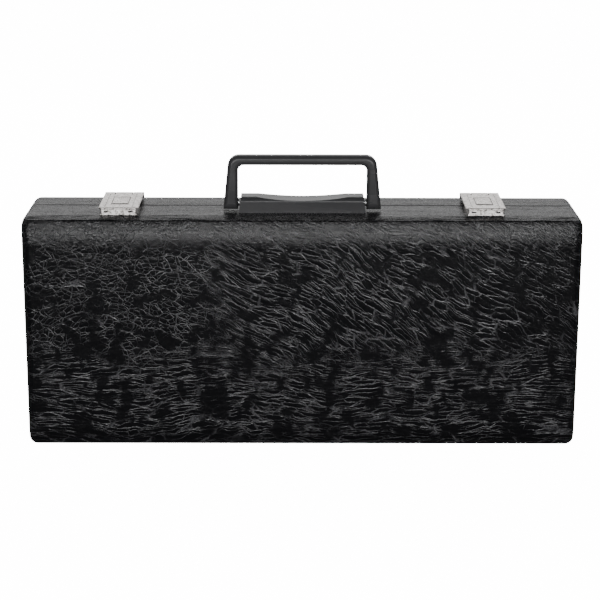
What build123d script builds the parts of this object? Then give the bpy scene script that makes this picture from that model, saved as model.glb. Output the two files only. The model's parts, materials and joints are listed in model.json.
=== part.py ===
from build123d import *
import os

os.makedirs("parts", exist_ok=True)

# A hard case for a tenor recorder, standing on its hinge side with the handle up.
# X runs along the case, the front half is the base and the rear half is the lid.
# Y is measured from the middle of the case's depth and Z from its lowest face.

# Outer size of the closed case
case_length = 435.0
case_height = 187.0
base_depth = 47.0
lid_depth = 41.0
front_edge_radius = 14.0
rear_edge_radius = 12.0
end_edge_radius = 7.0
rim_bevel = 0.6

# Thickness of the boards and of what covers them
skin_thickness = 0.8
wall_thickness = 5.2
panel_thickness = 4.0
smallest_inner_radius = 1.5

# Alignment lip that stands out of the base into the lid
lip_thickness = 1.9
lip_seat = 12.0
lip_reach = 4.5
lip_clearance = 0.4

# Fitted insert of the base, with a channel for each joint of the instrument
insert_clearance = 0.3
insert_recess = 2.0
insert_rebate = 2.4
channel_axis_depth = 6.0
middle_channel_radius = 19.0
middle_channel_length = 345.0
end_channel_radius = 20.5
head_channel_length = 240.0
foot_channel_length = 122.0
channel_rib = 9.0
channel_end_wall = 18.0
lower_channel_wall = 12.0
box_wall = 11.0
box_length = 150.0
box_depth = 30.0
box_corner_radius = 8.0
rod_channel_radius = 10.0
rod_channel_length = 205.0

# Lining of the lid
lining_floor = 6.0
lining_wall = 1.8
lining_gap = 1.0

# Hinges along the lower parting line
hinge_from_end = 92.5
hinge_length = 40.0
hinge_knuckles = 3
hinge_knuckle_radius = 2.5
hinge_pin_radius = 1.0
hinge_axis_height = 2.6
hinge_sheet = 1.0
hinge_flange = 11.5
hinge_sheet_gap = 0.1
hinge_knuckle_gap = 0.3
hinge_relief = 0.4
edge_relief = 3.4
pin_clearance = 0.08

# Handle: a bail that turns on two pins in a base bar
handle_centre = 18.0
handle_base_length = 99.2
handle_base_depth = 20.0
handle_base_height = 12.4
handle_base_round = 3.8
handle_base_draft = 1.7
handle_pivot_height = 6.6
scoop_length = 72.0
scoop_depth = 2.7
bail_opening = 100.4
bail_leg_low = 11.6
bail_leg_high = 7.2
bail_top = 44.2
bail_bar_height = 7.8
bail_depth = 11.0
bail_outer_corner = 9.0
bail_inner_corner = 4.5
bail_round = 3.3
largest_round_share = 0.46
handle_pin_radius = 1.5
handle_pin_in_base = 10.0
handle_pin_in_leg = 6.5
handle_collar_radius = 3.0
handle_collar_gap = 0.1

# Latches: a hasp on the lid, held by a sprung slide button on the base
latch_from_end = 75.0
hasp_width = 31.0
hasp_front = 37.0
hasp_sheet = 1.2
hasp_top = 6.0
hasp_corner = 3.0
hasp_edge_bevel = 0.5
hasp_pivot = 21.3
hasp_knuckle_radius = 2.5
hasp_pin_radius = 1.0
tongue_width = 13.6
tongue_slot = 0.8
tongue_slot_length = 10.0
knuckle_gap = 0.4
window_width = 13.5
window_front = 24.0
window_rear = 3.0
bead_offset = 10.6
bead_width = 0.6
bead_depth = 0.3
leaf_sheet = 1.0
leaf_width = 24.0
leaf_start = 3.6
hook_width = 9.0
hook_sheet = 1.0
hook_gap = 3.0
hook_toe = 3.2
hook_height = 1.4
button_travel = 3.0
button_gap = 0.6
button_side_gap = 0.45
button_length = 22.9
button_rise = 0.5
button_neck_width = 11.4
slide_width = 13.4
slide_length = 16.0
slide_gap = 0.1
slide_ledge = 1.3
slide_side_gap = 0.2
nose_thickness = 1.0
nose_reach = 2.4
nose_gap = 0.2
nose_width = 11.0
latch_case_width = 28.0
latch_case_front = 36.2
latch_case_rear = 3.0
latch_case_sheet = 1.0
latch_case_wall = 4.4
latch_curl_radius = 1.2
latch_slot_length = 3.4
latch_slot_height = 1.2
latch_slot_offset = 9.4
guide_width = 1.0
guide_height = 2.4
guide_lip = 0.7
spring_radius = 1.3
spring_pressed_length = 8.8
spring_bore_gap = 0.2

# Planes and places that follow from the sizes above
parting = (base_depth - lid_depth) / 2
top = case_height
sides = {"left": -1, "right": 1}
inner_margin = skin_thickness + wall_thickness
inner_base_depth = base_depth - skin_thickness - panel_thickness
inner_lid_depth = lid_depth - skin_thickness - panel_thickness
far = 2 * case_length
base_mid = parting - handle_centre


def half_block(side, depth, margin, face_radius, ends, relief=0.0):
    """One half of the case as a block: side is -1 before the parting plane, 1 behind it.

    margin is taken off the outline all round, ends says how the end faces' edges are finished,
    and relief is the bevel along the hinge side."""
    with BuildPart() as block:
        with BuildSketch(Plane.YZ.offset(-case_length / 2 + margin)):
            with Locations((parting + side * depth / 2, case_height / 2)):
                Rectangle(depth, case_height - 2 * margin)
        extrude(amount=case_length - 2 * margin)
        outer_face = block.faces().sort_by(Axis.Y)[0 if side < 0 else -1]
        fillet(outer_face.edges().filter_by(Axis.X), max(face_radius - margin, smallest_inner_radius))
        end_faces = [block.faces().sort_by(Axis.X)[0], block.faces().sort_by(Axis.X)[-1]]
        end_edges = [e for f in end_faces for e in f.edges() if abs(e.center().Y - parting) > 0.01]
        if ends == "round":
            fillet(end_edges, end_edge_radius - margin)
        if ends == "bevel":
            chamfer(end_edges, (end_edge_radius - margin) * (2 - 2**0.5))
        if relief > 0:
            with BuildSketch(Plane.YZ.offset(-case_length / 2)):
                with BuildLine():
                    Polyline((parting, 0), (parting + side * relief, 0), (parting, relief), close=True)
                make_face()
            extrude(amount=case_length, mode=Mode.SUBTRACT)
    return block.part


def cut_box(x, y, z, mode=Mode.SUBTRACT):
    """A box between the given pairs of limits, taken off the part being built or added to it."""
    with Locations(((x[0] + x[1]) / 2, (y[0] + y[1]) / 2, (z[0] + z[1]) / 2)):
        Box(x[1] - x[0], y[1] - y[0], z[1] - z[0], mode=mode)


def rod(x, y, z, radius, mode=Mode.ADD):
    """A round bar along X between two limits."""
    with BuildSketch(Plane.YZ.offset(x[0])) as section:
        with Locations((y, z)):
            Circle(radius)
    extrude(section.sketch, amount=x[1] - x[0], mode=mode)


def knuckle_spans(first, step):
    """The X limits of every second knuckle of a hinge, from its left end."""
    pitch = hinge_length / hinge_knuckles
    starts = [-hinge_length / 2 + i * pitch for i in range(first, hinge_knuckles, step)]
    return [(s + hinge_knuckle_gap / 2, s + pitch - hinge_knuckle_gap / 2) for s in starts]


def hinge_groove():
    """Room for the barrels where the rims meet, and for the sheet that climbs beside them."""
    for side in sides.values():
        place = side * (case_length / 2 - hinge_from_end)
        limits = (place - hinge_length / 2 - 1, place + hinge_length / 2 + 1)
        rod(limits, parting, hinge_axis_height, hinge_knuckle_radius + hinge_relief, Mode.SUBTRACT)
        sheet_room = hinge_sheet + 2 * hinge_sheet_gap
        cut_box(limits, (parting - sheet_room, parting + sheet_room), (hinge_axis_height, inner_margin))


def save(piece, name):
    """Names a finished piece and writes its file."""
    piece.part.label = name
    export_step(piece.part, "parts/" + name + ".step")


# Blocks that the shells, skins and linings are cut from
skin_relief = edge_relief + skin_thickness * 2**0.5
board_margin = skin_thickness
insert_margin = inner_margin + insert_clearance
base_outside = half_block(-1, base_depth, 0, front_edge_radius, "round", edge_relief)
base_board = half_block(-1, base_depth - skin_thickness, board_margin, front_edge_radius, "bevel", skin_relief)
base_hollow = half_block(-1, inner_base_depth, inner_margin, front_edge_radius, "square")
insert_block = half_block(-1, inner_base_depth, insert_margin, front_edge_radius, "square")
lid_outside = half_block(1, lid_depth, 0, rear_edge_radius, "round", edge_relief)
lid_board = half_block(1, lid_depth - skin_thickness, board_margin, rear_edge_radius, "bevel", skin_relief)
lid_hollow = half_block(1, inner_lid_depth, inner_margin, rear_edge_radius, "square")
lining_block = half_block(1, inner_lid_depth, insert_margin, rear_edge_radius, "square")
lining_room = insert_margin + lining_wall
lining_hollow = half_block(1, inner_lid_depth - lining_floor, lining_room, rear_edge_radius, "square")

# Boards of the two halves
with BuildPart() as base_shell:
    add(base_board)
    add(base_hollow, mode=Mode.SUBTRACT)
    hinge_groove()
save(base_shell, "base_shell")

with BuildPart() as lid_shell:
    add(lid_board)
    add(lid_hollow, mode=Mode.SUBTRACT)
    hinge_groove()
save(lid_shell, "lid_shell")

# Leatherette that covers the boards, with its edge turned in at the rim
with BuildPart() as base_skin:
    add(base_outside)
    rim = base_skin.faces().sort_by(Axis.Y)[-1]
    chamfer(rim.edges(), rim_bevel)
    add(base_board, mode=Mode.SUBTRACT)
    hinge_groove()
save(base_skin, "base_skin")

with BuildPart() as lid_skin:
    add(lid_outside)
    rim = lid_skin.faces().sort_by(Axis.Y)[0]
    chamfer(rim.edges(), rim_bevel)
    add(lid_board, mode=Mode.SUBTRACT)
    hinge_groove()
save(lid_skin, "lid_skin")

# Lip along the handle side and both ends of the base
inner_half_length = case_length / 2 - inner_margin
inner_low = inner_margin
inner_high = case_height - inner_margin
lip_low = inner_low + lip_seat / 2
lip_stages = [(lip_seat, 0, 0), (0, lip_reach, lip_clearance)]
with BuildPart() as base_lip:
    for before, beyond, gap in lip_stages:
        with BuildSketch(Plane.XZ.offset(before - parting)):
            with Locations((0, (lip_low + inner_high - gap) / 2)):
                Rectangle(2 * (inner_half_length - gap), inner_high - gap - lip_low)
        extrude(amount=-(before + beyond))
    opening = inner_half_length - lip_thickness
    cut_box((-opening, opening), (-far, far), (0, inner_high - lip_thickness))
save(base_lip, "base_lip")

# Fitted insert with the joints' channels, the rod's channel and a box for small things
insert_face = parting - insert_recess
channel_axis = parting - channel_axis_depth
lower_row = insert_margin + lower_channel_wall + middle_channel_radius
upper_row = lower_row + middle_channel_radius + channel_rib + end_channel_radius
box_low = upper_row + end_channel_radius + channel_rib
box_high = case_height - insert_margin - box_wall
rod_row = (box_low + box_high) / 2
channel_start = -case_length / 2 + insert_margin + channel_end_wall
channel_stop = -channel_start
channels = [
    (-middle_channel_length / 2, middle_channel_length, lower_row, middle_channel_radius),
    (channel_start, head_channel_length, upper_row, end_channel_radius),
    (channel_stop - foot_channel_length, foot_channel_length, upper_row, end_channel_radius),
    (channel_stop - rod_channel_length, rod_channel_length, rod_row, rod_channel_radius),
]
with BuildPart() as base_insert:
    add(insert_block)
    cut_box((-far, far), (insert_face, parting + 1), (0, top))
    rebate_x = case_length / 2 - inner_margin - insert_rebate
    rebate_y = (parting - lip_seat - insert_clearance, parting)
    flange_room = (parting - hinge_flange - insert_clearance, parting)
    cut_box((-far, -rebate_x), rebate_y, (0, top))
    cut_box((rebate_x, far), rebate_y, (0, top))
    cut_box((-far, far), flange_room, (0, inner_low + insert_rebate))
    cut_box((-far, far), rebate_y, (inner_high - insert_rebate, top))
    for start, length, height, radius in channels:
        rod((start, start + length), channel_axis, height, radius, Mode.SUBTRACT)
        cut_box((start, start + length), (channel_axis, parting), (height - radius, height + radius))
    with BuildSketch(Plane.XZ.offset(-insert_face)):
        with Locations((channel_start + box_length / 2, rod_row)):
            RectangleRounded(box_length, box_high - box_low, box_corner_radius)
    extrude(amount=box_depth, mode=Mode.SUBTRACT)
save(base_insert, "base_insert")

# Padded lining of the lid
with BuildPart() as lid_lining:
    add(lining_block)
    add(lining_hollow, mode=Mode.SUBTRACT)
    cut_box((-far, far), (parting - 1, parting + hinge_flange + lining_gap), (0, top))
save(lid_lining, "lid_lining")

# Hinges: the sheet climbs from the barrel past the rim and lies on the inner wall
for name, end_side in sides.items():
    place = end_side * (case_length / 2 - hinge_from_end)
    for half, side, first in (("base", -1, 0), ("lid", 1, 1)):
        own = knuckle_spans(first, 2)
        others = knuckle_spans(1 - first, 2)
        near = parting + side * hinge_sheet_gap
        back = near + side * hinge_sheet
        end = parting + side * hinge_flange
        flange_top = inner_margin + hinge_sheet
        with BuildPart() as leaf:
            edges_x = (place - hinge_length / 2, place + hinge_length / 2)
            flange_y = (min(near, end), max(near, end))
            cut_box(edges_x, flange_y, (inner_margin, flange_top), Mode.ADD)
            riser_y = (min(near, back), max(near, back))
            riser_low = hinge_axis_height + hinge_pin_radius
            cut_box(edges_x, riser_y, (riser_low, flange_top), Mode.ADD)
            for low, high in others:
                limits = (place + low - hinge_knuckle_gap, place + high + hinge_knuckle_gap)
                clear = hinge_knuckle_radius + hinge_knuckle_gap
                rod(limits, parting, hinge_axis_height, clear, Mode.SUBTRACT)
            for low, high in own:
                rod((place + low, place + high), parting, hinge_axis_height, hinge_knuckle_radius)
            bore = hinge_pin_radius if half == "base" else hinge_pin_radius + pin_clearance
            rod(edges_x, parting, hinge_axis_height, bore, Mode.SUBTRACT)
        save(leaf, "hinge_" + half + "_leaf_" + name)
    with BuildPart() as pin:
        rod((place - hinge_length / 2, place + hinge_length / 2), parting, hinge_axis_height, hinge_pin_radius)
    save(pin, "hinge_pin_" + name)

# Handle base: a bar with rounded upper edges, drafted ends and a scooped middle
base_half = handle_base_length / 2
pivot_z = top + handle_pivot_height
end_slope = handle_base_draft / handle_base_height
with BuildPart() as handle_base:
    with BuildSketch(Plane.XZ.offset(-base_mid + handle_base_depth / 2)):
        with BuildLine():
            Polyline(
                (-base_half, top),
                (base_half, top),
                (base_half - handle_base_draft, top + handle_base_height),
                (-base_half + handle_base_draft, top + handle_base_height),
                close=True,
            )
        make_face()
    extrude(amount=-handle_base_depth)
    fillet(handle_base.edges().filter_by(Axis.X).group_by(Axis.Z)[-1], handle_base_round)
    with BuildSketch(Plane.XZ.offset(-base_mid + handle_base_depth)):
        with BuildLine():
            crest = top + handle_base_height
            ThreePointArc((-scoop_length / 2, crest), (0, crest - scoop_depth), (scoop_length / 2, crest))
            Polyline((scoop_length / 2, crest), (0, crest + scoop_length), (-scoop_length / 2, crest))
        make_face()
    extrude(amount=-2 * handle_base_depth, mode=Mode.SUBTRACT)
    for side in sides.values():
        face_x = side * (base_half - end_slope * handle_pivot_height)
        deep_x = face_x - side * handle_pin_in_base
        out_x = face_x + side * handle_base_draft
        rod((min(deep_x, out_x), max(deep_x, out_x)), base_mid, pivot_z, handle_pin_radius, Mode.SUBTRACT)
save(handle_base, "handle_base")

# Bail: its legs flare outwards and end round about the pins
leg_low = pivot_z - bail_depth / 2
bail_high = top + bail_top
inner_half = bail_opening / 2
low_half = inner_half + bail_leg_low
high_half = inner_half + bail_leg_high
rim_round = min(bail_round, bail_leg_high * largest_round_share)
with BuildPart() as handle_bail:
    with BuildSketch(Plane.XZ.offset(-base_mid + bail_depth / 2)) as outline:
        with BuildLine():
            Polyline(
                (-low_half, leg_low), (low_half, leg_low), (high_half, bail_high), (-high_half, bail_high), close=True
            )
        make_face()
        fillet(outline.vertices().group_by(Axis.Y)[-1], bail_outer_corner)
        with BuildSketch(mode=Mode.SUBTRACT) as window:
            bar_low = bail_high - bail_bar_height
            with Locations((0, (leg_low - bail_outer_corner + bar_low) / 2)):
                Rectangle(bail_opening, bar_low - leg_low + bail_outer_corner)
            fillet(window.vertices().group_by(Axis.Y)[-1], bail_inner_corner)
    extrude(amount=-bail_depth)
    rims = handle_bail.faces().sort_by(Axis.Y)
    loops = [e for f in (rims[0], rims[-1]) for e in f.edges() if e.center().Z > leg_low + 0.01]
    fillet(loops, rim_round)
    with BuildSketch(Plane.YZ.offset(-far / 2)):
        with Locations((base_mid, pivot_z)):
            Circle(bail_depth / 2)
        with Locations((base_mid, (pivot_z + bail_high) / 2)):
            Rectangle(bail_depth, bail_high - pivot_z)
    extrude(amount=far, mode=Mode.INTERSECT)
    for side in sides.values():
        start = side * (inner_half - 1)
        stop = side * (inner_half + handle_pin_in_leg + 2 * handle_collar_gap)
        bore = handle_pin_radius + pin_clearance
        rod((min(start, stop), max(start, stop)), base_mid, pivot_z, bore, Mode.SUBTRACT)
save(handle_bail, "handle_bail")

# Handle pins, each with a collar between the base bar and the leg
for name, side in sides.items():
    face_x = base_half - end_slope * (handle_pivot_height - handle_collar_radius)
    root_x = base_half - end_slope * handle_pivot_height - handle_pin_in_base
    collar_end = inner_half - handle_collar_gap
    with BuildPart() as pin:
        tip_x = inner_half + handle_pin_in_leg
        ends = sorted((side * root_x, side * tip_x))
        rod(ends, base_mid, pivot_z, handle_pin_radius)
        collar = sorted((side * face_x, side * collar_end))
        rod(collar, base_mid, pivot_z, handle_collar_radius)
    save(pin, "handle_pin_" + name)

# Latches
pivot_y = parting + hasp_pivot
hasp_pivot_z = top + hasp_top - hasp_knuckle_radius
plate_low = top + hasp_top - hasp_sheet
hasp_low_y = parting - hasp_front
for name, side in sides.items():
    centre = side * (case_length / 2 - latch_from_end)

    # Leaf on the lid, with the middle knuckle that carries the hasp's pin
    with BuildPart() as hasp_leaf:
        knuckle_x = (centre - tongue_width / 2, centre + tongue_width / 2)
        leaf_x = (centre - leaf_width / 2, centre + leaf_width / 2)
        leaf_end = pivot_y - hasp_knuckle_radius
        cut_box(leaf_x, (parting + leaf_start, leaf_end), (top, top + leaf_sheet), Mode.ADD)
        chamfer(hasp_leaf.edges().filter_by(Axis.Z), leaf_sheet)
        cut_box(knuckle_x, (leaf_end - leaf_sheet, pivot_y), (top, top + leaf_sheet), Mode.ADD)
        cut_box(knuckle_x, (leaf_end, pivot_y), (top, hasp_pivot_z), Mode.ADD)
        rod(knuckle_x, pivot_y, hasp_pivot_z, hasp_knuckle_radius)
        rod(knuckle_x, pivot_y, hasp_pivot_z, hasp_pin_radius, Mode.SUBTRACT)
    save(hasp_leaf, "hasp_leaf_" + name)

    with BuildPart() as hasp_pin:
        pin_half = hasp_width / 2 - hasp_edge_bevel
        rod((centre - pin_half, centre + pin_half), pivot_y, hasp_pivot_z, hasp_pin_radius)
    save(hasp_pin, "hasp_pin_" + name)

    # Hasp: a pressed plate with a window, a tongue between two slots, and a hook below it
    with BuildPart() as hasp:
        with BuildSketch(Plane.XY.offset(plate_low)):
            with Locations((centre, (hasp_low_y + pivot_y) / 2)):
                Rectangle(hasp_width, pivot_y - hasp_low_y)
        extrude(amount=hasp_sheet)
        front_corners = hasp.edges().filter_by(Axis.Z).group_by(Axis.Y)[0]
        fillet(front_corners, hasp_corner)
        chamfer(hasp.faces().sort_by(Axis.Z)[-1].edges().group_by(Axis.Y)[0], hasp_edge_bevel)
        outer_x = hasp_width / 2
        inner_x = tongue_width / 2 + knuckle_gap
        for flank in (-1, 1):
            limits = sorted((centre + flank * inner_x, centre + flank * outer_x))
            rod(limits, pivot_y, hasp_pivot_z, hasp_knuckle_radius)
            slot_mid = centre + flank * (tongue_width / 2 + tongue_slot / 2 - knuckle_gap / 2)
            slot_x = (slot_mid - tongue_slot / 2, slot_mid + tongue_slot / 2)
            slot_y = (pivot_y + hasp_knuckle_radius - hasp_sheet - tongue_slot_length, pivot_y)
            cut_box(slot_x, slot_y, (plate_low - 1, top + hasp_top + 1))
            bead_mid = centre + flank * bead_offset
            bead_x = (bead_mid - bead_width / 2, bead_mid + bead_width / 2)
            bead_y = (hasp_low_y + hasp_corner, slot_y[0])
            cut_box(bead_x, bead_y, (top + hasp_top - bead_depth, top + hasp_top + 1))
        room = hasp_knuckle_radius + knuckle_gap + bead_depth
        tongue_x = (centre - inner_x, centre + inner_x)
        cut_box(tongue_x, (pivot_y - room, pivot_y + room), (plate_low - 1, top + hasp_top + 1))
        window_x = (centre - window_width / 2, centre + window_width / 2)
        window_y = (parting - window_front, parting + window_rear)
        cut_box(window_x, window_y, (plate_low - 1, top + hasp_top + 1))
        hook_front = parting - window_front - hook_gap - hook_sheet
        hook_x = (centre - hook_width / 2, centre + hook_width / 2)
        hook_z = top + hook_height
        cut_box(hook_x, (hook_front, hook_front + hook_sheet), (hook_z, plate_low), Mode.ADD)
        cut_box(hook_x, (hook_front, hook_front + hook_toe), (hook_z, hook_z + hook_sheet), Mode.ADD)
        wide_x = (centre - hasp_width, centre + hasp_width)
        rod(wide_x, pivot_y, hasp_pivot_z, hasp_pin_radius + pin_clearance, Mode.SUBTRACT)
    save(hasp, "hasp_" + name)

    # Latch case on the base: floor, side walls, a slotted front with curled ends, and guides
    floor_top = top + latch_case_sheet
    case_front = parting - latch_case_front
    case_rear = parting - latch_case_rear
    half_width = latch_case_width / 2
    with BuildPart() as latch_case:
        floor_x = (centre - half_width, centre + half_width)
        cut_box(floor_x, (case_front, case_rear), (top, floor_top), Mode.ADD)
        wall_top = top + latch_case_wall
        wall_end = case_front + latch_curl_radius
        for flank in (-1, 1):
            outer = centre + flank * half_width
            wall_x = sorted((outer, outer - flank * latch_case_sheet))
            cut_box(wall_x, (wall_end, case_rear), (top, wall_top), Mode.ADD)
            with BuildSketch(Plane.XY.offset(top)):
                with Locations((outer - flank * latch_curl_radius, wall_end)):
                    Circle(latch_curl_radius)
            extrude(amount=latch_case_wall)
            guide_near = centre + flank * (slide_width / 2 + slide_side_gap)
            guide_x = sorted((guide_near, guide_near + flank * guide_width))
            slide_front = parting - window_front
            guide_y = (slide_front, case_rear)
            cut_box(guide_x, guide_y, (floor_top, floor_top + guide_height), Mode.ADD)
            lip_x = sorted((guide_near - flank * guide_lip, guide_near))
            lip_low_z = floor_top + slide_gap + slide_ledge + slide_gap
            cut_box(lip_x, guide_y, (lip_low_z, floor_top + guide_height), Mode.ADD)
        front_x = (centre - half_width + latch_curl_radius, centre + half_width - latch_curl_radius)
        cut_box(front_x, (case_front, case_front + latch_case_sheet), (top, wall_top), Mode.ADD)
        for flank in (-1, 1):
            slot_mid = centre + flank * latch_slot_offset
            slot_x = (slot_mid - latch_slot_length / 2, slot_mid + latch_slot_length / 2)
            slot_z = (wall_top - 2 * latch_slot_height, wall_top - latch_slot_height)
            cut_box(slot_x, (case_front - 1, case_front + latch_case_sheet + 0.01), slot_z)
        stop_half = slide_width / 2 + slide_side_gap
        stop_x = (centre - stop_half, centre + stop_half)
        stop_z = (floor_top, top + latch_case_wall - slide_gap)
        cut_box(stop_x, (case_rear - latch_case_sheet, case_rear), stop_z, Mode.ADD)
    save(latch_case, "latch_case_" + name)

    # Slide button: a slide between the guides, a neck, the button in the window and a nose
    button_front = parting - window_front + button_gap
    slide_low = floor_top + slide_gap
    neck_high = plate_low - 4 * slide_gap
    button_half = window_width / 2 - button_side_gap
    with BuildPart() as slide_button:
        slide_x = (centre - slide_width / 2, centre + slide_width / 2)
        slide_y = (slide_front, slide_front + slide_length)
        cut_box(slide_x, slide_y, (slide_low, slide_low + slide_ledge), Mode.ADD)
        neck_x = (centre - button_neck_width / 2, centre + button_neck_width / 2)
        cut_box(neck_x, slide_y, (slide_low, neck_high), Mode.ADD)
        button_x = (centre - button_half, centre + button_half)
        button_y = (button_front, button_front + button_length)
        cut_box(button_x, button_y, (neck_high, top + hasp_top + button_rise), Mode.ADD)
        chamfer(slide_button.edges().group_by(Axis.Z)[-1], button_rise)
        nose_low = hook_z + hook_sheet + nose_gap
        nose_x = (centre - nose_width / 2, centre + nose_width / 2)
        nose_y = (slide_front - nose_reach, slide_front)
        cut_box(nose_x, nose_y, (nose_low, nose_low + nose_thickness), Mode.ADD)
        bore_end = case_rear - latch_case_sheet - spring_pressed_length - spring_bore_gap - button_travel
        with BuildSketch(Plane.XZ.offset(-bore_end)):
            with Locations((centre, slide_low + spring_radius + 2 * spring_bore_gap)):
                Circle(spring_radius + spring_bore_gap)
        extrude(amount=-(slide_y[1] - bore_end + 1), mode=Mode.SUBTRACT)
    save(slide_button, "slide_button_" + name)

    # Spring behind the slide, at the length that it has with the button pushed
    with BuildPart() as button_spring:
        with BuildSketch(Plane.XZ.offset(-(case_rear - latch_case_sheet))):
            with Locations((centre, slide_low + spring_radius + 2 * spring_bore_gap)):
                Circle(spring_radius)
        extrude(amount=spring_pressed_length)
    save(button_spring, "button_spring_" + name)
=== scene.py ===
import bpy
import bmesh
import json
import math
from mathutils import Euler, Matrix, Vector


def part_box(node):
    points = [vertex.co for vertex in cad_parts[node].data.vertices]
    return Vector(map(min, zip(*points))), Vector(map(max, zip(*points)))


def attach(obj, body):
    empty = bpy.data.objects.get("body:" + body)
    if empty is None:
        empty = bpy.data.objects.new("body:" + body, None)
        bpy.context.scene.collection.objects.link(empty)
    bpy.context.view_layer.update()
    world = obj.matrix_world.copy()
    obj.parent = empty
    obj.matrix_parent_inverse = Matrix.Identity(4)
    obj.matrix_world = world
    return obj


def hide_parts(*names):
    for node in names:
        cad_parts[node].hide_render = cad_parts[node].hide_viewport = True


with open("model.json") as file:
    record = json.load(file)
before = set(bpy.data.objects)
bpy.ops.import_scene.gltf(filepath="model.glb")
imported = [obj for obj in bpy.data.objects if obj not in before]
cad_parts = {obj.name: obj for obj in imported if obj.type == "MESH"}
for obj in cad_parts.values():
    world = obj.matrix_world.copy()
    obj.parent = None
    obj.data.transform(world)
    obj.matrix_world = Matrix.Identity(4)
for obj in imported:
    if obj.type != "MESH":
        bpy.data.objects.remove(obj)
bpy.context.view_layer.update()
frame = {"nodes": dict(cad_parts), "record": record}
MM = 0.001

# The base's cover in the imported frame, in metres: its box, the parting plane and the case's top
case_low, case_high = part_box("base_skin")
parting = case_high[1]
case_top = case_high[2]

# The base's long front edges, in millimetres from the axis of the solids' rounding
EDGE_RADIUS = 14.0
CREASE_REACH = 11.0
CREASE_FALL = 2.5
CREASE_HEIGHT = EDGE_RADIUS - CREASE_FALL
SHALLOW_RADIUS = 41.5
SHALLOW_FOOT = -4.0

# Zones of the leatherette's wrinkles, in millimetres, each with the two ends of its soft border
ROUND_CELLS_ALONG = (-105, -35)
LONG_CREASES_UP = (62, 98)
BAND_UP = (case_top / MM - 29, case_top / MM - 16)
CROWN_UP = (case_top / MM - 3.4, case_top / MM - 2.2)
# SEAM_AWAY: next to the parting the cover keeps its darkest colour and grows rougher; the darkness is
# painted shade along the seam.
SEAM_AWAY = (0.9, 1.6)


# Materials
class Graph:
    """One node material, with short calls for the nodes that it is made of."""

    def __init__(self, name, **surface):
        self.material = bpy.data.materials.new(name)
        self.material.use_nodes = True
        self.tree = self.material.node_tree
        self.shader = self.tree.nodes["Principled BSDF"]
        for key, value in surface.items():
            self.shader.inputs[key.replace("_", " ")].default_value = value

    def add(self, kind, inputs=None, **settings):
        made = self.tree.nodes.new("ShaderNode" + kind)
        for key, value in settings.items():
            setattr(made, key, value)
        for key, value in (inputs or {}).items():
            self.put(value, made.inputs[key])
        return made

    def put(self, value, socket):
        if isinstance(value, bpy.types.NodeSocket):
            self.tree.links.new(value, socket)
        else:
            socket.default_value = value

    def surface(self, key, value):
        self.put(value, self.shader.inputs[key])

    def place(self, scale=(1, 1, 1), shift=(0, 0, 0)):
        """Object coordinates in millimetres, scaled and shifted."""
        source = self.add("TexCoord").outputs["Object"]
        return self.mapped(source, Scale=[s / MM for s in scale], Location=shift)

    def mapped(self, vector, **settings):
        """Coordinates changed by a Mapping node's Location, Rotation or Scale."""
        return self.add("Mapping", {"Vector": vector} | settings).outputs["Vector"]

    def leaned(self, vector, degrees):
        """Coordinates turned about the axis that runs through the case from front to rear."""
        return self.mapped(vector, Rotation=(0, math.radians(degrees), 0))

    def noise(self, vector, size, detail=2.0, roughness=0.5):
        """Noise whose features are about size millimetres wide."""
        inputs = {"Vector": vector, "Scale": 1 / size, "Detail": detail, "Roughness": roughness}
        return self.add("TexNoise", inputs).outputs["Fac"]

    def warp(self, vector, size, amount):
        """The same coordinates, pushed about by noise by up to amount millimetres."""
        inputs = {"Vector": vector, "Scale": 1 / size, "Detail": 1.0}
        colour = self.add("TexNoise", inputs).outputs["Color"]
        middle = (0.5, 0.5, 0.5)
        centred = self.add("VectorMath", {0: colour, 1: middle}, operation="SUBTRACT").outputs[0]
        pushed = self.add("VectorMath", {0: centred, 3: 2 * amount}, operation="SCALE").outputs[0]
        return self.add("VectorMath", {0: vector, 1: pushed}, operation="ADD").outputs[0]

    def edge_of_cells(self, vector):
        """Distance to the nearest border between irregular cells, which are about one unit wide."""
        inputs = {"Vector": vector, "Scale": 1.0, "Randomness": 1.0}
        return self.add("TexVoronoi", inputs, feature="DISTANCE_TO_EDGE").outputs["Distance"]

    def math(self, operation, a, b=0.0):
        return self.add("Math", {0: a, 1: b}, operation=operation).outputs[0]

    def product(self, first, *others):
        for other in others:
            first = self.math("MULTIPLY", first, other)
        return first

    def total(self, first, *others):
        for other in others:
            first = self.math("ADD", first, other)
        return first

    def opposite(self, share):
        return self.math("SUBTRACT", 1.0, share)

    def span(self, value, low, high, to_low=0.0, to_high=1.0):
        """value carried smoothly from the range low..high to to_low..to_high."""
        inputs = {"Value": value, 1: low, 2: high, 3: to_low, 4: to_high}
        return self.add("MapRange", inputs, interpolation_type="SMOOTHSTEP").outputs[0]

    def spread(self, noise, to_low, to_high):
        """The range 0.3..0.7, where nearly all of a noise lies, carried to to_low..to_high."""
        return self.span(noise, 0.3, 0.7, to_low, to_high)

    def mix(self, factor, a, b):
        inputs = {"Factor": factor, 6: a, 7: b}
        return self.add("Mix", inputs, data_type="RGBA").outputs[2]

    def bump(self, height, distance, strength=1.0, under=None):
        """Relief of distance millimetres."""
        inputs = {"Height": height, "Distance": distance * MM, "Strength": strength}
        if under is not None:
            inputs["Normal"] = under
        return self.add("Bump", inputs).outputs["Normal"]


def grey(level, tint=(1, 1, 1)):
    return tuple(level * t for t in tint) + (1.0,)


def creases(g, vector, cell, width, shift):
    """Branching lines between cells of the given size, and the swell of the cells themselves."""
    scale = tuple(1 / c for c in cell)
    edge = g.edge_of_cells(g.mapped(vector, Scale=scale, Location=(shift, shift, shift)))
    return g.span(edge, 0.0, width, 1.0, 0.0), g.span(edge, 0.0, 0.4)


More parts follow.
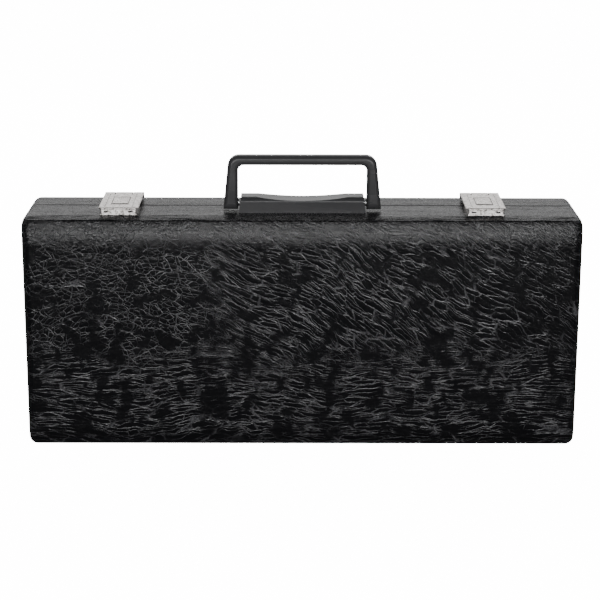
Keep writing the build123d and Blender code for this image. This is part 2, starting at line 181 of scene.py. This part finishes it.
def layered_creases(g, layers):
    """Lines and swell of several layers (coordinates, cell size, line width, where), each drawn once
    at its own size and once finer and weaker."""
    finer, weaker = 0.42, 0.7
    gap_between_layers = 7.3
    lines, swell = 0.0, 0.0
    for number, (vector, cell, width, where) in enumerate(layers):
        for size, strength in ((1.0, 1.0), (finer, weaker)):
            small_cell = tuple(c * size for c in cell)
            shift = gap_between_layers * number + size
            line, dome = creases(g, vector, small_cell, width / size**0.5, shift)
            weight = g.product(where, strength)
            lines = g.math("MAXIMUM", lines, g.product(line, weight))
            swell = g.total(swell, g.product(dome, weight))
    return lines, swell


def leatherette():
    """Wrinkled cover cloth: round cells at the front's upper left, slanted creases right of them,
    long level creases low down, a pebbled band under the edge and drawn folds on the top."""
    g = Graph("leatherette", Roughness=0.3)
    flat = g.place()
    position = g.add("SeparateXYZ", {"Vector": flat}).outputs
    up = position["Z"]
    blurred = g.add("SeparateXYZ", {"Vector": g.warp(flat, size=70, amount=30)}).outputs
    crown = g.span(up, *CROWN_UP)
    band = g.product(g.span(up, *BAND_UP), g.opposite(crown))
    left = g.span(blurred["X"], *ROUND_CELLS_ALONG, 1.0, 0.0)
    high = g.product(g.span(blurred["Z"], *LONG_CREASES_UP), g.opposite(crown))

    bent = g.warp(flat, size=120, amount=20)
    bent = g.warp(bent, size=15, amount=2.6)
    bent = g.warp(bent, size=3.2, amount=0.7)
    layers = [
        (bent, (13, 13, 9), 0.032, g.product(high, left)),
        (g.leaned(bent, -31), (46, 22, 8), 0.038, g.product(high, g.opposite(left))),
        (bent, (52, 14, 7), 0.042, g.opposite(high)),
    ]
    lines, swell = layered_creases(g, layers)
    patches = g.noise(flat, size=13, detail=2, roughness=0.6)
    fade = g.span(patches, 0.36, 0.60, to_low=0.12)
    lines = g.product(lines, fade)

    crinkle = g.noise(g.warp(flat, size=2.2, amount=0.9), size=1.3, detail=3, roughness=0.6)
    grain = g.noise(flat, size=0.5, detail=2, roughness=0.6)
    stretched = g.warp(g.place(scale=(0.2, 1, 1)), size=30, amount=6)
    folds = g.noise(stretched, size=8.5, detail=4, roughness=0.62)
    pinched = g.mapped(g.leaned(bent, 28), Scale=(1, 1, 0.35))
    pebbles = g.noise(pinched, size=2.3, detail=3, roughness=0.6)
    swell_height, line_height, crinkle_height, pebble_height, fold_height = 0.33, -0.45, 0.5, 1.7, 15.0
    relief = g.total(
        g.product(swell, fade, swell_height),
        g.product(lines, line_height),
        g.product(crinkle, g.total(band, crinkle_height)),
        g.product(pebbles, band, pebble_height),
        g.product(folds, crown, fold_height),
    )
    wrinkled = g.bump(relief, distance=0.24)
    g.surface("Normal", g.bump(grain, distance=0.04, strength=0.5, under=wrinkled))

    from_seam = g.math("ABSOLUTE", g.math("SUBTRACT", position["Y"], parting / MM))
    # The crease lines are coloured lighter than the black ground: partly wear, partly a painted
    # highlight where their ridges would catch the light.
    ground, worn_and_lit = grey(0.0025, (1, 1, 1.4)), grey(0.095, (1, 1, 1.06))
    # Within SEAM_AWAY of the parting the lighter lines are left out, which paints shade along the seam.
    wear_and_highlight = g.product(lines, g.span(crinkle, 0.35, 0.6, to_low=0.4), g.span(from_seam, *SEAM_AWAY))
    g.surface("Base Color", g.mix(wear_and_highlight, ground, worn_and_lit))
    crown_roughness, seam_roughness = 0.08, 0.6
    rough = g.total(g.spread(crinkle, 0.14, 0.22), g.product(crown, crown_roughness))
    g.surface("Roughness", g.total(rough, g.span(from_seam, *SEAM_AWAY, seam_roughness, 0.0)))
    return g.material


def moulded_plastic():
    g = Graph("moulded_plastic", Roughness=0.3, Specular_IOR_Level=0.3)
    texture = g.noise(g.place(), size=0.5, detail=2, roughness=0.55)
    flow = g.noise(g.place(scale=(0.15, 1, 1)), size=12, detail=3, roughness=0.5)
    wavy = g.bump(flow, distance=0.15, strength=0.35)
    g.surface("Normal", g.bump(texture, distance=0.03, strength=0.5, under=wavy))
    g.surface("Base Color", g.mix(flow, grey(0.044, (1, 1, 1.05)), grey(0.056, (1, 1, 1.05))))
    g.surface("Roughness", g.spread(flow, 0.24, 0.32))
    return g.material


def satin_nickel():
    """Brushed plating, clouded and spotted, with painted shade where parts lie close together."""
    g = Graph("satin_nickel", Metallic=1.0, Roughness=0.3)
    brushed = g.noise(g.place(scale=(0.08, 1, 1)), size=0.16, detail=2, roughness=0.6)
    cloudy = g.noise(g.place(), size=2.6, detail=4, roughness=0.65)
    spots = g.noise(g.place(shift=(9, 4, 2)), size=0.9, detail=3, roughness=0.7)
    # Ambient occlusion mixes a dark colour into gaps and where parts lie close together: painted shade.
    open_air = g.add("AmbientOcclusion", {"Distance": 1.6 * MM}, samples=8).outputs["AO"]
    dull, bright = grey(0.55, (1.0, 0.935, 0.88)), grey(1.0, (1.0, 0.955, 0.925))
    tarnish, painted_gap_shade = grey(0.38, (1.0, 0.9, 0.8)), grey(0.10, (1.0, 0.9, 0.8))
    spotted = g.mix(g.span(spots, 0.60, 0.72), g.mix(g.span(cloudy, 0.36, 0.56), dull, bright), tarnish)
    g.surface("Base Color", g.mix(g.span(open_air, 0.35, 0.85), painted_gap_shade, spotted))
    g.surface("Roughness", g.spread(cloudy, 0.24, 0.38))
    uneven = g.bump(cloudy, distance=0.03, strength=0.5)
    g.surface("Normal", g.bump(brushed, distance=0.012, strength=0.5, under=uneven))
    return g.material


def zinc_steel():
    g = Graph("zinc_steel", Metallic=1.0, Roughness=0.35)
    turned = g.noise(g.place(scale=(1, 0.1, 0.1)), size=0.2, detail=2, roughness=0.6)
    cloudy = g.noise(g.place(), size=3, detail=3, roughness=0.6)
    g.surface("Base Color", g.mix(cloudy, grey(0.60, (0.97, 0.99, 1.0)), grey(0.48)))
    g.surface("Roughness", g.spread(cloudy, 0.26, 0.45))
    g.surface("Normal", g.bump(turned, distance=0.01, strength=0.5))
    return g.material


def plywood():
    g = Graph("plywood", Roughness=0.7)
    stretched = g.warp(g.place(scale=(0.03, 1, 1)), size=20, amount=3)
    grain = g.noise(stretched, size=1.4, detail=5, roughness=0.65)
    rings = g.noise(g.place(scale=(0.02, 1, 1)), size=9, detail=3, roughness=0.6)
    early, late, ring = (0.50, 0.34, 0.19, 1), (0.33, 0.20, 0.10, 1), (0.42, 0.27, 0.14, 1)
    g.surface("Base Color", g.mix(g.span(rings, 0.4, 0.6), g.mix(grain, early, late), ring))
    g.surface("Normal", g.bump(grain, distance=0.12, strength=0.6))
    return g.material


def plush():
    g = Graph("plush", Roughness=0.95, Sheen_Weight=0.6, Sheen_Roughness=0.35)
    g.shader.inputs["Sheen Tint"].default_value = (0.35, 0.42, 0.75, 1)
    pile = g.noise(g.place(), size=0.35, detail=2, roughness=0.7)
    stretched = g.warp(g.place(scale=(0.6, 1, 1)), size=30, amount=12)
    stroke = g.noise(stretched, size=18, detail=3, roughness=0.55)
    g.surface("Base Color", g.mix(stroke, (0.006, 0.009, 0.030, 1), (0.014, 0.020, 0.062, 1)))
    brushed = g.bump(stroke, distance=0.8, strength=0.4)
    g.surface("Normal", g.bump(pile, distance=0.35, strength=0.9, under=brushed))
    return g.material


SLOTS = {
    "leatherette": leatherette,
    "board": plywood,
    "plush": plush,
    "handle_plastic": moulded_plastic,
    "steel": zinc_steel,
    "nickel": satin_nickel,
}
finish_of = {name: make() for name, make in SLOTS.items()}
for entry in frame["record"]["subparts"]:
    mesh = frame["nodes"][entry["node"]].data
    mesh.materials.clear()
    mesh.materials.append(finish_of[entry["material_slot"]])


# Pieces
def copy_of(node, name):
    """A new object with its own copy of a node's mesh, and the mesh opened for editing."""
    source = frame["nodes"][node]
    piece = bpy.data.objects.new(name, source.data.copy())
    bpy.context.collection.objects.link(piece)
    piece.matrix_world = source.matrix_world.copy()
    shape = bmesh.new()
    shape.from_mesh(piece.data)
    bmesh.ops.remove_doubles(shape, verts=shape.verts, dist=0.002 * MM)
    return piece, shape


def close_copy(piece, shape, node, body, slot, sharp):
    """Writes the mesh back, shades it smooth up to the angle sharp, in degrees, and lets the piece
    stand for its node on the body."""
    for face in shape.faces:
        face.smooth = True
    for edge in shape.edges:
        edge.smooth = len(edge.link_faces) == 2 and edge.calc_face_angle(0.0) < math.radians(sharp)
    shape.to_mesh(piece.data)
    shape.free()
    if piece.data.attributes.get("custom_normal"):
        piece.data.attributes.remove(piece.data.attributes["custom_normal"])
    piece.data.materials.clear()
    piece.data.materials.append(finish_of[slot])
    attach(piece, body)
    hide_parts(node)


def divide(shape, faces, place, normal):
    """Adds edges to the faces where a plane through place crosses them."""
    edges = dict.fromkeys(edge for face in faces for edge in face.edges)
    points = dict.fromkeys(point for face in faces for point in face.verts)
    geometry = [*points, *edges, *faces]
    bmesh.ops.bisect_plane(shape, geom=geometry, dist=1e-7, plane_co=place, plane_no=normal)


def profile_of_edge():
    """Angle and radius of the drawn-over front edge about the rounding's axis: the top falls gently
    to a crease, and a long shallow curve leads from there down to the front."""
    top_steps, curve_steps = 22, 40
    points = []
    for i in range(top_steps + 1):
        forward = CREASE_REACH * i / top_steps
        points.append((forward, EDGE_RADIUS - CREASE_FALL * (forward / CREASE_REACH) ** 2))
    for i in range(curve_steps + 1):
        height = CREASE_HEIGHT - CREASE_HEIGHT * i / curve_steps
        sag = SHALLOW_RADIUS - math.sqrt(SHALLOW_RADIUS**2 - (height - SHALLOW_FOOT) ** 2)
        points.append((EDGE_RADIUS - sag, height))
    return [(math.atan2(forward, height), math.hypot(forward, height)) for forward, height in points]


def radius_at(profile, angle):
    """The profile's radius at an angle, between the two points next to it."""
    last = len(profile) - 1
    after = next((i for i in range(1, last) if profile[i][0] >= angle), last)
    (a0, r0), (a1, r1) = profile[after - 1], profile[after]
    share = min(1.0, max(0.0, (angle - a0) / (a1 - a0)))
    return r0 + (r1 - r0) * share


def divide_front_edge(shape, axis, up):
    """Gives the cover enough edges to be bent: a fan of cuts about the rounding's axis, one of them
    at the crease, and a few level cuts in the flat front beyond it."""
    crease = math.degrees(math.atan2(CREASE_REACH, CREASE_HEIGHT))
    level_lines, level_step = 5, 2 * MM
    reach = (level_lines - 0.5) * level_step
    planes = []
    for degrees in (9, 18, 27, 35, 40, crease, 48, 53, 59, 65, 71, 77, 83):
        angle = math.radians(degrees)
        planes.append((axis, Vector((0, math.cos(angle), up * math.sin(angle)))))
    for k in range(level_lines):
        planes.append((axis - Vector((0, 0, up * k * level_step)), Vector((0, 0, 1))))
    for place, normal in planes:
        near = [
            face for face in shape.faces
            if any(p.co.y < axis.y + 0.01 * MM and up * (p.co.z - axis.z) > -reach for p in face.verts)
        ]
        divide(shape, near, place, normal)


def draw_front_edge(shape, axis, up):
    """Moves the rounding onto the profile. The cover sinks by a hundredth of its radius at most,
    so that it stays outside the board, and sunk_share is what that leaves of the curve's sag."""
    least_factor, sunk_share = 0.99, 0.7
    cover_thickness, play, slack = 0.8, 0.3, 0.001
    flat_front = EDGE_RADIUS - cover_thickness - play
    profile = profile_of_edge()
    for point in shape.verts:
        depth, rise = (axis.y - point.co.y) / MM, up * (point.co.z - axis.z) / MM
        if depth < slack or rise < SHALLOW_FOOT:
            continue
        if rise > slack:
            radius = radius_at(profile, math.atan2(depth, rise))
            factor = max(least_factor, radius / EDGE_RADIUS)
            point.co.y = axis.y - depth * factor * MM
            point.co.z = axis.z + up * rise * factor * MM
        elif depth > flat_front:
            sag = SHALLOW_RADIUS - math.sqrt(SHALLOW_RADIUS**2 - (rise - SHALLOW_FOOT) ** 2)
            point.co.y += sunk_share * sag * MM


def drawn_cover():
    """The base's cover, creased where it is drawn over the front board's top and bottom edge."""
    piece, shape = copy_of("base_skin", "base_cover")
    edge = EDGE_RADIUS * MM
    for up, height in ((1, case_top - edge), (-1, case_low[2] + edge)):
        axis = Vector((0, case_low[1] + edge, height))
        divide_front_edge(shape, axis, up)
        draw_front_edge(shape, axis, up)
    close_copy(piece, shape, "base_skin", "base", "leatherette", sharp=34)


def settle(shape, turns, share):
    """Evens out a mesh, each point towards the mean of its neighbours."""
    for _ in range(turns):
        means = []
        for point in shape.verts:
            around = [edge.other_vert(point).co for edge in point.link_edges]
            means.append(sum(around, Vector()) / len(around))
        for point, mean in zip(shape.verts, means):
            point.co = point.co.lerp(mean, share)


def remeshed(piece, shape, size):
    """The shape again as an even mesh of small squares."""
    shape.to_mesh(piece.data)
    shape.free()
    remesh = piece.modifiers.new("remesh", "REMESH")
    remesh.mode = "VOXEL"
    remesh.voxel_size = size
    ready = piece.evaluated_get(bpy.context.evaluated_depsgraph_get()).to_mesh()
    even = bmesh.new()
    even.from_mesh(ready)
    piece.modifiers.clear()
    return even


def padded_insert():
    """The insert as foam under plush: rounded ribs round each channel and a swollen face."""
    square, shrink = 3, 0.9
    face_depth, rib_drop, rib_width = 3, 1.4, 14
    wave_height, wave_along, wave_up, start = 0.25, 23, 17, 1.3
    piece, shape = copy_of("base_insert", "base_padding")
    shape = remeshed(piece, shape, square * MM)
    shape.normal_update()
    for point, normal in [(p, p.normal.copy()) for p in shape.verts]:
        point.co -= normal * shrink * MM
    settle(shape, turns=6, share=0.5)
    low, high = ([c / MM for c in corner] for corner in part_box("base_insert"))
    for point in shape.verts:
        x, y, z = (c / MM for c in point.co)
        if y > high[1] - face_depth:
            inset = min(x - low[0], high[0] - x, z - low[2], high[2] - z)
            drop = rib_drop * max(0.0, 1 - inset / rib_width) ** 2
            wave = math.sin(x / wave_along) * math.sin(z / wave_up + start)
            point.co.y -= (drop + wave_height * (1 + wave)) * MM
    close_copy(piece, shape, "base_insert", "base", "plush", sharp=80)


def padded_lining():
    """The lid's lining: a crowned pad on the panel, with thin padded walls round it."""
    wall, floor_depth, slack = 1.8, 6, 0.2
    pad_drop, pad_width, gap = 1.7, 24, 0.35
    wave_height, wave_along, wave_up, start = 0.25, 31, 26, 0.4
    piece, shape = copy_of("lid_lining", "lid_padding")
    low, high = ([c / MM for c in corner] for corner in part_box("lid_lining"))
    for axis in (0, 2):
        from_wall = (2.6, 4.5, 7, 10, 14, 19, 26, 36, 50, 66, 84)
        marks = [low[axis] + k for k in from_wall] + [high[axis] - k for k in from_wall]
        if axis == 0:
            sixteenth = (high[0] - low[0]) / 16
            marks += [low[0] + sixteenth * k for k in range(4, 13)]
        for mark in marks:
            place, normal = Vector((0, 0, 0)), Vector((0, 0, 0))
            place[axis], normal[axis] = mark * MM, 1
            divide(shape, shape.faces[:], place, normal)
    for point in shape.verts:
        x, y, z = (c / MM for c in point.co)
        if abs(y - (high[1] - floor_depth)) < slack:
            inset = min(x - low[0], high[0] - x, z - low[2], high[2] - z) - wall
            drop = pad_drop * max(0.0, 1 - inset / pad_width) ** 2 + gap
            wave = math.sin(x / wave_along + start) * math.sin(z / wave_up)
            point.co.y += (drop + wave_height * wave) * MM
    close_copy(piece, shape, "lid_lining", "lid", "plush", sharp=50)


drawn_cover()
padded_insert()
padded_lining()


# Stage, light and camera
def softbox(name, place, aim, size, brightness):
    """A lamp of the given size in metres that looks as bright as brightness from any side."""
    light = bpy.data.lights.new(name, "AREA")
    light.shape = "RECTANGLE"
    light.size, light.size_y = size
    light.energy = brightness * math.pi * size[0] * size[1]
    lamp = bpy.data.objects.new(name, light)
    bpy.context.collection.objects.link(lamp)
    lamp.location = place
    lamp.rotation_euler = (Vector(aim) - Vector(place)).to_track_quat("-Z", "Y").to_euler()
    lamp.visible_camera = False


def backdrop():
    """A white floor that curves up into a wall behind the case, in metres."""
    half, front, back, rise, radius, steps = 9.0, -9.0, 2.2, 5.0, 0.9, 12
    profile = [(front, 0.0), (back - radius, 0.0)]
    for i in range(1, steps + 1):
        turn = math.pi / 2 * i / steps
        profile.append((back - radius + radius * math.sin(turn), radius - radius * math.cos(turn)))
    profile.append((back, rise))
    mesh = bpy.data.meshes.new("backdrop")
    points = [(x, y, z) for y, z in profile for x in (-half, half)]
    faces = [(2 * i, 2 * i + 1, 2 * i + 3, 2 * i + 2) for i in range(len(profile) - 1)]
    mesh.from_pydata(points, [], faces)
    for face in mesh.polygons:
        face.use_smooth = True
    paper = bpy.data.objects.new("backdrop", mesh)
    bpy.context.collection.objects.link(paper)
    g = Graph("paper", Roughness=0.9, Emission_Strength=15.0)
    g.surface("Base Color", g.mix(g.noise(g.place(), 400, 2), grey(0.86), grey(0.88)))
    g.shader.inputs["Emission Color"].default_value = grey(1.0)
    mesh.materials.append(g.material)
    paper.visible_diffuse = False
    paper.visible_glossy = False


def studio_light():
    """Two dim boxes and two bright strips in front, and two long boxes behind for the rear edges."""
    world = bpy.data.worlds.new("studio")
    world.use_nodes = True
    world.node_tree.nodes["Background"].inputs["Color"].default_value = grey(1.0)
    world.node_tree.nodes["Background"].inputs["Strength"].default_value = 0.08
    bpy.context.scene.world = world
    foot, middle = (0, 0, 0.1), (0, 0, 0.18)
    box, strip = (0.6, 0.62), (0.54, 0.26)
    softbox("left_box", (-0.70, -1.30, 0.68), foot, box, 0.7)
    softbox("right_box", (0.75, -1.30, 0.68), foot, box, 0.7)
    softbox("left_strip", (-0.40, -1.55, 0.30), middle, strip, 18.0)
    softbox("right_strip", (0.40, -1.55, 0.30), middle, strip, 18.5)
    softbox("rear_low_box", (0, 1.5, 0.55), middle, (3.2, 0.48), 1.1)
    softbox("rear_high_box", (0, 1.25, 1.40), middle, (3.2, 1.0), 1.7)


def photo_camera():
    """The photograph's view. The camera looks at the middle of the case, which shows a little off
    the picture's centre, at the pixel seen_x, seen_y. The focal length is in pixels too."""
    elevation, turn, roll = math.radians(15.96), math.radians(-0.27), math.radians(0.18)
    distance, focal, frame_width = 1.464, 1814.85, 600
    seen_x, seen_y = 301.79, 319.66
    target = Vector((0, 0, case_top / 2))
    level = math.cos(elevation)
    back = Vector((math.sin(turn) * level, -math.cos(turn) * level, math.sin(elevation)))
    data = bpy.data.cameras.new("camera")
    camera = bpy.data.objects.new("camera", data)
    bpy.context.collection.objects.link(camera)
    camera.location = target + back * distance
    aim = Euler((math.pi / 2 - elevation, 0, turn)).to_matrix()
    camera.rotation_euler = (aim @ Euler((0, 0, roll)).to_matrix()).to_euler()
    data.sensor_width = 36.0
    data.lens = focal * data.sensor_width / frame_width
    data.shift_x = (frame_width / 2 - seen_x) / frame_width
    data.shift_y = (seen_y - frame_width / 2) / frame_width
    bpy.context.scene.camera = camera


backdrop()
studio_light()
photo_camera()
